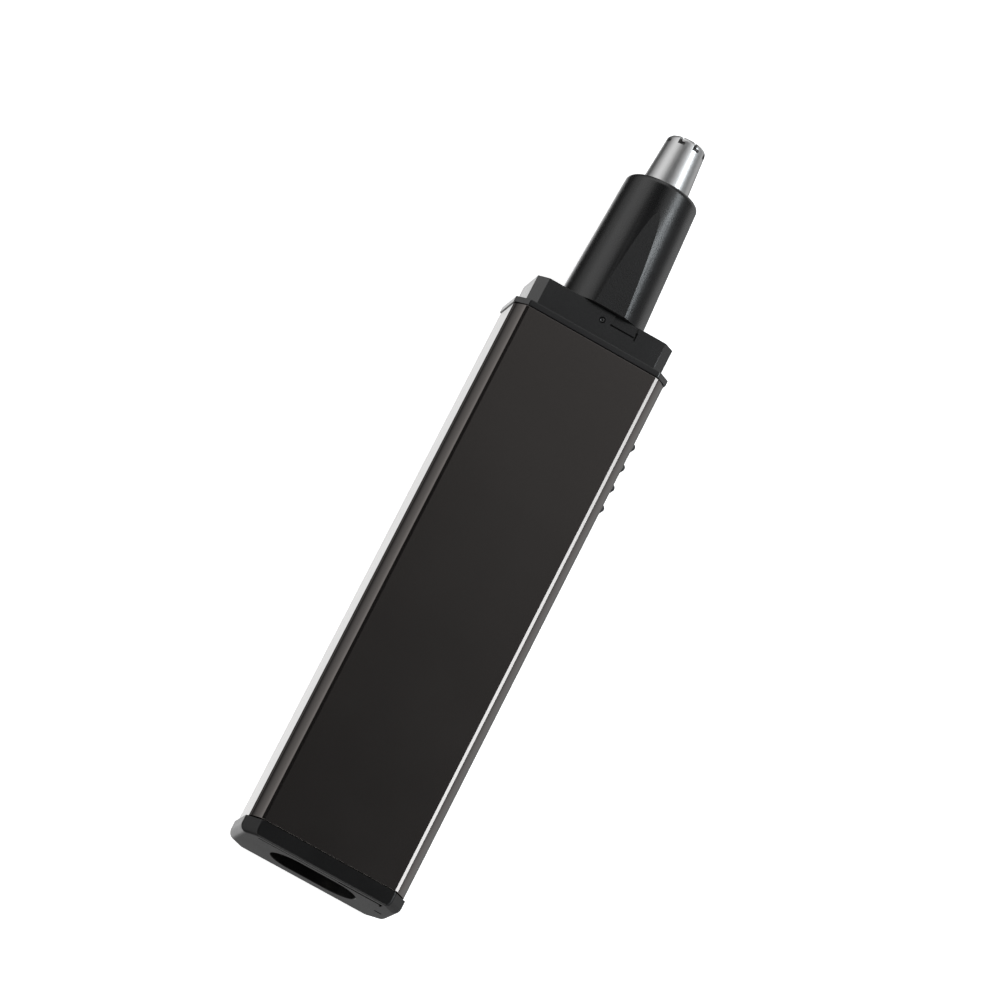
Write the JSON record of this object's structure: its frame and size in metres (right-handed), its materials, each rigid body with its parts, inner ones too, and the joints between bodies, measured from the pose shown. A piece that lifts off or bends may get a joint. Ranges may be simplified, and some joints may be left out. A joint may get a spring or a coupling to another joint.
{
  "type": "nose hair trimmer",
  "caption": "Slim cordless nose hair trimmer: octagonal metal body, twist-off collar with a round slotted cutter, ribbed side switch and a two-pin charging recess in the end cap.",
  "frame": {"origin": "middle of the metal sleeve's flat back face, which the trimmer lies on", "axes": "+Y along the body towards the cutter, +Z out of the broad front face, +X towards the slide switch"},
  "size_m": [0.031, 0.1446, 0.0154],
  "materials": {
    "sleeve_metal": "dark gunmetal plated, glossy, very fine grain",
    "cap_plastic": "moulded, semi-matte",
    "housing_plastic": "moulded, satin",
    "collar_soft_touch": "soft-touch coated, fine grain",
    "switch_plastic": "moulded, satin",
    "cutter_steel": "turned and lightly polished",
    "shaft_steel": "ground",
    "pin_metal": "nickel plated",
    "inlet_plastic": "moulded",
    "chassis_plastic": "moulded",
    "battery_wrap": "shrink-wrapped cell",
    "nickel": "nickel strip",
    "board_laminate": "solder mask",
    "transformer_core": "ferrite and tape",
    "chip_plastic": "moulded",
    "capacitor_sleeve": "shrink sleeve",
    "lever_plastic": "moulded",
    "can_metal": "plated sheet steel",
    "bell_plastic": "moulded",
    "sintered_brass": "sintered",
    "ferrite": "pressed ferrite",
    "carbon": "carbon",
    "winding": "enamelled copper on laminations",
    "seal_rubber": "moulded",
    "acetal": "moulded",
    "spring_steel": "drawn wire",
    "red_insulation": "wire insulation",
    "black_insulation": "wire insulation"
  },
  "bodies": {
    "body": {"sleeve": "sleeve_metal", "end_cap": "cap_plastic", "inlet_block": "inlet_plastic", "inlet_pin_left": "pin_metal", "inlet_pin_right": "pin_metal", "inlet_screw_left": "shaft_steel", "inlet_screw_right": "shaft_steel", "inlet_lead_left": "black_insulation", "inlet_lead_right": "red_insulation", "chassis_tray": "chassis_plastic", "chassis_cover": "chassis_plastic", "battery_cell": "battery_wrap", "battery_tab_negative": "nickel", "battery_tab_positive": "nickel", "circuit_board": "board_laminate", "transformer": "transformer_core", "capacitor": "capacitor_sleeve", "charge_controller": "chip_plastic", "switch_body": "chip_plastic", "motor_can": "can_metal", "motor_end_bell": "bell_plastic", "motor_magnet_left": "ferrite", "motor_magnet_right": "ferrite", "motor_front_bush": "sintered_brass", "motor_rear_bush": "sintered_brass", "motor_brush_left": "carbon", "motor_brush_right": "carbon", "motor_lead_left": "black_insulation", "motor_lead_right": "red_insulation", "shaft_seal": "seal_rubber", "top_housing": "housing_plastic"},
    "switch": {"switch_slider": "switch_plastic", "switch_lever": "lever_plastic"},
    "rotor": {"motor_shaft": "shaft_steel", "motor_armature": "winding", "motor_commutator": "sintered_brass", "drive_coupler": "acetal"},
    "lock": {"lock_ring": "acetal"},
    "head": {"head_collar": "collar_soft_touch", "outer_cutter": "cutter_steel", "cutter_retainer": "acetal", "head_retainer": "acetal"},
    "blade": {"blade_shaft": "acetal", "rotary_blade": "cutter_steel", "blade_spring": "spring_steel"}
  },
  "joints": [
    {"name": "motor_spin", "type": "hinge", "parent": "body", "child": "rotor", "pos_m": [0, 0.016, 0.008], "axis": [0, 1, 0], "continuous": true},
    {"name": "head_twist", "type": "hinge", "parent": "body", "child": "lock", "pos_m": [0, 0.0566, 0.008], "axis": [0, 1, 0], "range_deg": [0, 20]},
    {"name": "head_lift", "type": "slide", "parent": "lock", "child": "head", "axis": [0, 1, 0], "range_m": [0, 0.03]},
    {"name": "blade_spin", "type": "hinge", "parent": "head", "child": "blade", "pos_m": [0, 0.0566, 0.008], "axis": [0, 1, 0], "continuous": true},
    {"name": "switch_slide", "type": "slide", "parent": "body", "child": "switch", "axis": [0, 1, 0], "range_m": [0, 0.004]}
  ],
  "couplings": [
    {"joint": "blade_spin", "follows": "motor_spin", "ratio": 1}
  ]
}
